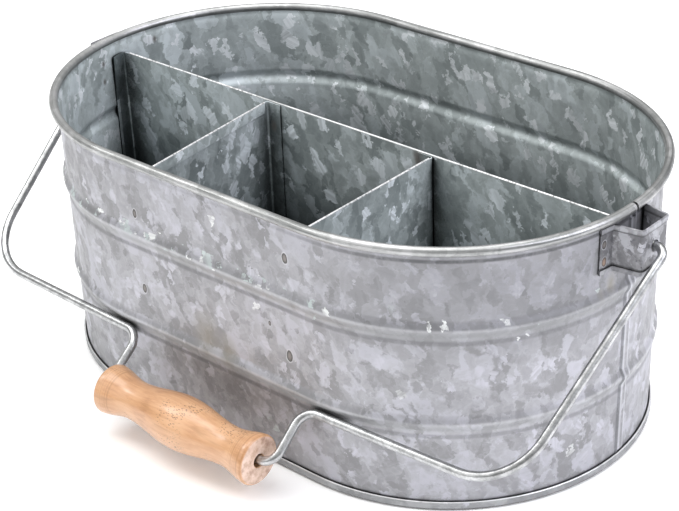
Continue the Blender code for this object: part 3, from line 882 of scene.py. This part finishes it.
def addMarks(add, finish, marks, coords, wander):
    # ovals with uneven edges, each toned from its middle outwards
    for x, y, z, radius in marks["places"]:
        off = add("VectorMath", {0: wander, 2: coords}, {1: (markShape["wander"] * radius * mm,) * 3},
                  operation="MULTIPLY_ADD")
        off = add("VectorMath", {0: off}, {1: (x * mm, y * mm, z * mm)}, operation="SUBTRACT")
        squash = [share / (markShape["spread"] * radius * mm) for share in markShape["squash"]]
        oval = add("VectorMath", {0: off}, {1: squash}, operation="MULTIPLY")
        away = add("VectorMath", {0: oval}, operation="LENGTH")
        near = add("MapRange", {0: away}, span(1, marks["solid"], 0, markShape["strength"]))
        tone = add("ValToRGB", {0: away}, stops=marks["tones"])
        finish = layOver(add, finish, tone, near)
    return finish


def zincSheet(name, look, *markKinds):
    # Hot-dip galvanised sheet, weathered: a thin matt patina over crystals of unlike greys,
    # each shaded across, with its own fine streaks and its own slight tilt
    material, add = newMaterial(name)
    coords = add("TexCoord").outputs["Object"]
    endways, sideways, height = add("SeparateXYZ", {0: coords}).outputs
    cloud = add("TexNoise", {"Vector": coords}, patternOf(zinc["warpSize"] * look["warpMm"], 4, 0.62))
    wander = add("VectorMath", {0: cloud.outputs["Color"]}, {1: halfGrey}, operation="SUBTRACT")
    bent = add("VectorMath", {0: wander, 2: coords}, {1: (zinc["warpReach"] * look["warpMm"] * mm,) * 3},
               operation="MULTIPLY_ADD")
    slant = (0, radians(look["slant"]), 0)
    slanted = add("Mapping", {"Vector": bent}, {"Rotation": slant, "Scale": look["stretch"]},
                  vector_type="TEXTURE")
    patch = add("TexVoronoi", {"Vector": slanted},
                {"Scale": metre / look["patchMm"], "Smoothness": look["patchBlur"]}, feature="SMOOTH_F1")
    chip = add("TexVoronoi", {"Vector": slanted}, {"Scale": metre / look["chipMm"]})
    flake = add("TexVoronoi", {"Vector": slanted}, {"Scale": metre / look["flakeMm"]})
    patchTone, chipTone, flakeTone = (
        add("SeparateColor", {0: cells.outputs["Color"]}).outputs for cells in (patch, chip, flake)
    )
    # streaks run across a direction that each crystal has for itself
    across = add("VectorMath", {0: chip.outputs["Color"]}, {1: halfGrey}, operation="SUBTRACT")
    along = add("VectorMath", {0: across, 1: coords}, operation="DOT_PRODUCT")
    streak = add("TexNoise", {"W": along}, patternOf(zinc["streakMm"]), noise_dimensions="1D")
    wide = add("TexNoise", {"Vector": coords}, patternOf(zinc["wideMm"]))
    mottle = add("TexNoise", {"Vector": slanted}, patternOf(zinc["mottleMm"], 4, 0.6))
    layers = {"chip": chipTone[0], "shade": chip, "wide": wide, "streak": streak, "mottle": mottle}
    tone = patchTone[0]
    for layer, share in zinc["layers"].items():
        tone = add("Mix", {2: tone, 3: layers[layer]}, {0: share}, data_type="FLOAT")
    finish = add("ValToRGB", {0: tone}, stops=list(zip(zinc["toneStops"], look["tones"])))
    # pale crystals are brushed unevenly and fade at their borders, as the dark ones do
    soft = add("MapRange", {0: chip}, span(*look["chipEdge"]))
    brushed = add("MapRange", {0: streak}, zinc["brushed"])
    for shade, edge, fade in (
        ("pale", 1 - look["paleChips"], zinc["paleFade"]),
        ("darkChip", look["darkChips"], -zinc["darkFade"]),
    ):
        chosen = add("MapRange", {0: chipTone[1]}, span(edge - fade, edge + fade))
        finish = layOver(add, finish, look[shade], chosen, soft, brushed)
    # painted light and shade in bands: on beads and in creases, under the rim, low on the wall, round the
    # upper right front and along the ears' hems
    uneven = add("MapRange", {0: mottle}, zinc["uneven"])
    for middle, half, left, right, shade in look["bands"]:
        weight = add("MapRange", {0: endways}, span(*zinc["bandSpan"], left, right))
        finish = layOver(add, finish, shade, weight, inStripe(add, height, middle, half), uneven)
    if look["drawLines"]:
        lines = rollerLines(add, endways, sideways, height, look["drawLines"])
        finish = layOver(add, finish, roller["dark"], lines)
    # small flakes flash white or pale green, most of them in one band
    most = look["sparkleBoost"]
    boost = add("MapRange", {0: endways}, span(*zinc["boostSpan"], most, most * zinc["boostRight"]))
    inBand = inStripe(add, height, look["sparkleBand"], zinc["sparkleHalf"])
    luck = add("Math", {0: inBand, 1: boost, 2: flakeTone[0]}, operation="MULTIPLY_ADD")
    isFlake = add("MapRange", {0: luck}, span(look["sparkles"] - zinc["flakeFade"], look["sparkles"]))
    isGreen = add("Math", {0: flakeTone[1]}, {1: zinc["greenAbove"]}, operation="GREATER_THAN")
    flakeColour = add("Mix", {0: isGreen},
                      {6: toLinear(look["sparkle"][0]), 7: toLinear(look["sparkle"][1])}, data_type="RGBA")
    scratched = add("MapRange", {0: streak}, zinc["scratched"])
    finish = layOver(add, finish, flakeColour, isFlake, scratched)
    # painted shade, and some dirt and oxide, in creases and corners, read from ambient occlusion; then
    # painted shade by height
    hollow = add("AmbientOcclusion", None, {"Distance": look["hollowShadeAndDirtMm"] * mm}, samples=8)
    hollowShadeAndDirt = add("ValToRGB", {0: hollow.outputs["AO"]}, stops=look["hollowShadeAndDirt"])
    tall = add("MapRange", {0: height}, span(0, rimHeight))
    level = add("ValToRGB", {0: tall}, stops=look["heights"])
    for shade in (hollowShadeAndDirt, level):
        finish = add("Mix", {6: finish, 7: shade}, {0: 1}, data_type="RGBA", blend_type="MULTIPLY")
    # painted shadow and highlight along the lock seam's edges
    nearSeam = straightHalf + wallMid(0) - zinc["seamReach"]
    atEnd = add("Math", {0: endways}, {1: nearSeam}, operation="GREATER_THAN")
    for edge in look["seamEdges"]:
        for offset, half, strength, shade in zinc["seamLines"]:
            line = inStripe(add, sideways, edge + offset, half, strength)
            finish = layOver(add, finish, shade, line, atEnd)
    for marks in markKinds:
        finish = addMarks(add, finish, marks, coords, wander)
    rough = add("MapRange", {0: chipTone[2]}, span(0, 1, *look["roughness"]))
    # each crystal's face leans its own way
    normal = add("NewGeometry").outputs["Normal"]
    face = add("Mix", {6: patch.outputs["Color"], 7: chip.outputs["Color"]}, {0: 0.5}, data_type="RGBA")
    lean = add("VectorMath", {0: face}, {1: halfGrey}, operation="SUBTRACT")
    leaning = add("VectorMath", {0: lean, 2: normal}, {1: (look["tilt"],) * 3}, operation="MULTIPLY_ADD")
    bumps = add("VectorMath", {0: leaning}, operation="NORMALIZE")
    grain = add("TexNoise", {"Vector": coords}, patternOf(zinc["grainMm"], 3))
    reliefs = {"grain": grain, "mottle": mottle, "flake": isFlake, "wide": wide}
    for relief, (strength, depthMm) in zinc["bumps"].items():
        bumps = add("Bump", {"Height": reliefs[relief], "Normal": bumps},
                    {"Strength": strength, "Distance": depthMm * mm})
    shader = add("BsdfPrincipled", {"Base Color": finish, "Roughness": rough, "Normal": bumps},
                 {"Metallic": look["metallic"]})
    add("OutputMaterial", {"Surface": shader})
    return material


wireLook = {
    "cloudMm": 7,
    "speckleMm": 1.1,
    "speckleShare": 0.22,
    "tones": ((0.4, "#929393"), (0.5, "#aeafaf"), (0.6, "#c4c5c5")),
    "roughness": span(0.35, 0.65, 0.36, 0.26),  # the bright clouds are smoother
    "bump": {"Strength": 0.25, "Distance": 0.1 * mm},
}


def zincWire(name):
    # Galvanised drawn wire: smooth satin zinc, faintly clouded, with long soft highlights
    material, add = newMaterial(name)
    coords = add("TexCoord").outputs["Object"]
    cloud = add("TexNoise", {"Vector": coords}, patternOf(wireLook["cloudMm"], 5, 0.6))
    speckle = add("TexNoise", {"Vector": coords}, patternOf(wireLook["speckleMm"]))
    tone = add("Mix", {2: cloud, 3: speckle}, {0: wireLook["speckleShare"]}, data_type="FLOAT")
    colour = add("ValToRGB", {0: tone}, stops=wireLook["tones"])
    rough = add("MapRange", {0: tone}, wireLook["roughness"])
    bump = add("Bump", {"Height": tone}, wireLook["bump"])
    shader = add("BsdfPrincipled", {"Base Color": colour, "Roughness": rough, "Normal": bump},
                 {"Metallic": 1})
    add("OutputMaterial", {"Surface": shader})
    return material


woodLook = {
    "grainMm": 1.5,
    "grainStretch": (0.07, 1, 1),
    "cloudMm": 22,
    "cloudShare": 0.55,
    "tones": ((0.34, "#b08059"), (0.46, "#c6956c"), (0.56, "#d0a178"), (0.68, "#d8ac86")),
    "stainMm": 4.5,
    "stain": "#a4774c",
    "stained": span(0.56, 0.7, 0, 0.6),
    "poreMm": 0.8,
    "poreStretch": (0.45, 1, 1),
    "pore": "#684628",
    "pored": span(0.38, 0.2),
    "poreCrowds": span(0.54, 0.62, 0, 0.9),
    "blotchMm": 5,  # on the end grain
    "endGrain": ((0.34, "#a88470"), (0.46, "#c6a690"), (0.56, "#d8bba8"), (0.66, "#e2cbbc")),
    "endFacing": span(0.8, 0.97),
    "ringMm": 1.1,  # turning rings near the ends
    "ringPlace": span(30 * mm, 42 * mm),
    "ringStain": span(0.45, 0.7, 0, 0.55),
    "ringBump": {"Strength": 0.5, "Distance": 0.15 * mm},
    "grainBump": {"Strength": 0.35, "Distance": 0.1 * mm},
    "varnish": {"Roughness": 0.38, "Coat Weight": 0.6, "Coat Roughness": 0.16},
}


def varnishedWood(name):
    # Turned beech under clear varnish: pale orange-brown, fine flecks along the grain, lathe rings
    material, add = newMaterial(name)
    coords = add("TexCoord").outputs["Object"]
    stretched = add("Mapping", {"Vector": coords}, {"Scale": woodLook["grainStretch"]})
    grain = add("TexNoise", {"Vector": stretched}, patternOf(woodLook["grainMm"], 5, 0.6))
    cloud = add("TexNoise", {"Vector": coords}, patternOf(woodLook["cloudMm"]))
    tone = add("Mix", {2: grain, 3: cloud}, {0: woodLook["cloudShare"]}, data_type="FLOAT")
    finish = add("ValToRGB", {0: tone}, stops=woodLook["tones"])
    # brown stains, and dark pores in crowds
    stains = add("TexNoise", {"Vector": stretched}, patternOf(woodLook["stainMm"], 3))
    stained = add("MapRange", {0: stains}, woodLook["stained"])
    finish = layOver(add, finish, woodLook["stain"], stained)
    poreCells = add("Mapping", {"Vector": coords}, {"Scale": woodLook["poreStretch"]})
    pores = add("TexVoronoi", {"Vector": poreCells}, {"Scale": metre / woodLook["poreMm"]})
    pored = add("MapRange", {0: pores}, woodLook["pored"])
    crowds = add("MapRange", {0: cloud}, woodLook["poreCrowds"])
    finish = layOver(add, finish, woodLook["pore"], pored, crowds)
    # end grain is greyer and blotched
    facing = add("SeparateXYZ", {0: add("NewGeometry").outputs["Normal"]})
    endOn = add("Math", {0: facing}, operation="ABSOLUTE")
    isEnd = add("MapRange", {0: endOn}, woodLook["endFacing"])
    blotch = add("TexNoise", {"Vector": coords}, patternOf(woodLook["blotchMm"], 5, 0.7))
    endTone = add("ValToRGB", {0: blotch}, stops=woodLook["endGrain"])
    finish = layOver(add, finish, endTone, isEnd)
    # lathe rings, stronger near the ends
    along = add("SeparateXYZ", {0: coords})
    rings = add("TexNoise", {"W": along}, patternOf(woodLook["ringMm"]), noise_dimensions="1D")
    reach = add("Math", {0: along}, operation="ABSOLUTE")
    nearEnd = add("MapRange", {0: reach}, woodLook["ringPlace"])
    ringHeight = add("Math", {0: rings, 1: nearEnd}, operation="MULTIPLY")
    ringed = add("MapRange", {0: ringHeight}, woodLook["ringStain"])
    finish = layOver(add, finish, woodLook["stain"], ringed)
    bump = add("Bump", {"Height": ringHeight}, woodLook["ringBump"])
    fine = add("Bump", {"Height": grain, "Normal": bump}, woodLook["grainBump"])
    shader = add("BsdfPrincipled", {"Base Color": finish, "Normal": fine}, woodLook["varnish"])
    add("OutputMaterial", {"Surface": shader})
    return material


# Studio and camera

studio = {
    "floorSize": 8,
    "floor": {
        "Base Color": toLinear("#fafafa"), "Roughness": 0.7,
        "Emission Color": toLinear("#ffffff"), "Emission Strength": 0.14,
    },
    "sky": ((0.0, "#6c6c6c"), (0.25, "#949494"), (0.6, "#d8d8d8"), (1.0, "#ffffff")),
    "aim": Vector((0, 0, 0.07)),
    "softboxes": (  # name, place, size, watts, colour
        ("overheadSoftbox", (-0.1, 0.0, 1.6), 1.4, 20, "#ffffff"),
        ("frontSoftbox", (-0.7, -1.5, 0.9), 1.2, 5, "#ffffff"),
        ("leftSoftbox", (-1.1, -0.65, 1.39), 0.55, 5.7, "#ffffff"),
        ("rightSoftbox", (1.45, 0.3, 1.1), 1.0, 19, "#f2f3ff"),
    ),
}
view = {
    "yaw": 41.996,  # degrees, as the next two
    "pitch": 29.078,
    "roll": -2.19,
    "distance": 965.35 * mm,
    "target": Vector((-9.81 * mm, 0, 54.29 * mm)),
    "focalPixels": 1865.9,  # in the photograph's pixels
    "imageWidth": 679,
    "sensorMm": 36,
    "clipStart": 50 * mm,
}


def makeStudio():
    deselectAll()
    bpy.ops.mesh.primitive_plane_add(size=studio["floorSize"], location=(0, 0, 0))
    floor = bpy.context.object
    floor.name = "studioFloor"
    # Opal acrylic, faintly lit from below, so that the shadows on it stay light
    material, add = newMaterial("opalAcrylicFloor")
    add("OutputMaterial", {"Surface": add("BsdfPrincipled", None, studio["floor"])})
    floor.data.materials.append(material)
    world = bpy.data.worlds.new("paleStudio")
    bpy.context.scene.world = world
    world.use_nodes = True
    # the room darkens towards the horizon, which gives wire and rim their dark lines
    world.node_tree.nodes.clear()
    add = partial(addNode, world.node_tree)
    height = add("SeparateXYZ", {0: add("TexCoord").outputs["Generated"]}).outputs[2]
    sky = add("Background", {"Color": add("ValToRGB", {0: height}, stops=studio["sky"])})
    add("OutputWorld", {"Surface": sky})
    bpy.context.scene.view_settings.view_transform = "Standard"
    for name, place, size, power, colour in studio["softboxes"]:
        bpy.ops.object.light_add(type="AREA", location=place)
        lamp = bpy.context.object
        lamp.name = name
        lamp.data.size = size
        lamp.data.energy = power
        lamp.data.color = toLinear(colour)[:3]
        lamp.rotation_euler = (studio["aim"] - Vector(place)).to_track_quat("-Z", "Y").to_euler()


def makeCamera():
    yaw, pitch, roll = (radians(view[key]) for key in ("yaw", "pitch", "roll"))
    back = Vector((sin(yaw) * cos(pitch), -cos(yaw) * cos(pitch), sin(pitch)))
    right = Vector((cos(yaw), sin(yaw), 0))
    up = back.cross(right)
    right, up = cos(roll) * right + sin(roll) * up, cos(roll) * up - sin(roll) * right
    camera = bpy.data.objects.new("photoCamera", bpy.data.cameras.new("photoCamera"))
    bpy.context.scene.collection.objects.link(camera)
    turned = Matrix((right, up, back)).transposed().to_4x4()
    turned.translation = view["target"] + view["distance"] * back
    camera.matrix_world = turned
    camera.data.sensor_width = view["sensorMm"]
    camera.data.lens = view["focalPixels"] * view["sensorMm"] / view["imageWidth"]
    camera.data.clip_start = view["clipStart"]
    bpy.context.scene.camera = camera


def dress(piece, material, test=None):
    # all of a piece, or only its faces that pass the test
    if test is None:
        piece.data.materials.clear()
    piece.data.materials.append(material)
    for face in piece.data.polygons:
        if test is None or test(face):
            face.material_index = len(piece.data.materials) - 1


def facesIn(face):
    # whether it looks towards the oval's spine
    out = face.center - Vector((max(-straightHalf, min(straightHalf, face.center.x)), 0, 0))
    out.z = 0
    return out.dot(face.normal) < tub["inwards"] * out.length


wall = makeWall()
print("wall made:", len(wall.data.polygons), "faces")
panPiece = makePan()
longDivider = makeLongDivider()
crossDividers = [
    makeCrossDivider("crossDividerLeft", "cross_divider_left", -1),
    makeCrossDivider("crossDividerRight", "cross_divider_right", 1),
]
ears = [makeEar("earLeft", -1), makeEar("earRight", 1)]
print("sheet metal made")
wire = makeBail()
gripPiece = makeGrip()
print("bail made")

outsideSheet = zincSheet("galvanisedSheetOutside", outsideLook, reflectionAndShadeMarks, weldMarks)
insideSheet = zincSheet("galvanisedSheetInside", insideLook, innerMarks)
wallInside = zincSheet("galvanisedWallInside", wallInsideLook, innerMarks)
shadedFlange = zincSheet("galvanisedFlangeInShade", flangeLook)
paintedHighlightEdge = zincSheet("galvanisedEdgePaintedHighlight", highlightEdgeLook)
curledRim = zincSheet("galvanisedCurledRim", rimLook)
earSheet = zincSheet("galvanisedEarSheet", earLook, earWelds, rustMarks)
dress(wall, outsideSheet)
dress(wall, wallInside, facesIn)
dress(wall, curledRim, lambda face: face.center.z > rimHeight - tub["rollRadius"])
dress(panPiece, zincSheet("galvanisedPanSheet", panLook))
# painted highlight on the hem's fold
dress(panPiece, paintedHighlightEdge, lambda face: face.center.z > panHigh.z - pan["paintedHighlightDepth"])
dress(panPiece, insideSheet, lambda face: face.normal.z > pan["level"] and face.center.z < panHigh.z / 2)
for piece in [longDivider] + crossDividers:
    dress(piece, insideSheet)
    if piece == longDivider:
        dress(piece, shadedFlange, lambda face: face.center.x < dividerLow.x + divider["shaded"])
    # painted highlight along the hem's top
    dress(piece, paintedHighlightEdge, lambda face: face.center.z > dividerHigh.z - divider["paintedHighlightDepth"])
for piece in ears:
    dress(piece, earSheet)
dress(wire, zincWire("galvanisedWire"))
dress(gripPiece, varnishedWood("varnishedBeech"))
print("materials made")

makeStudio()
makeCamera()
print("studio and camera made")
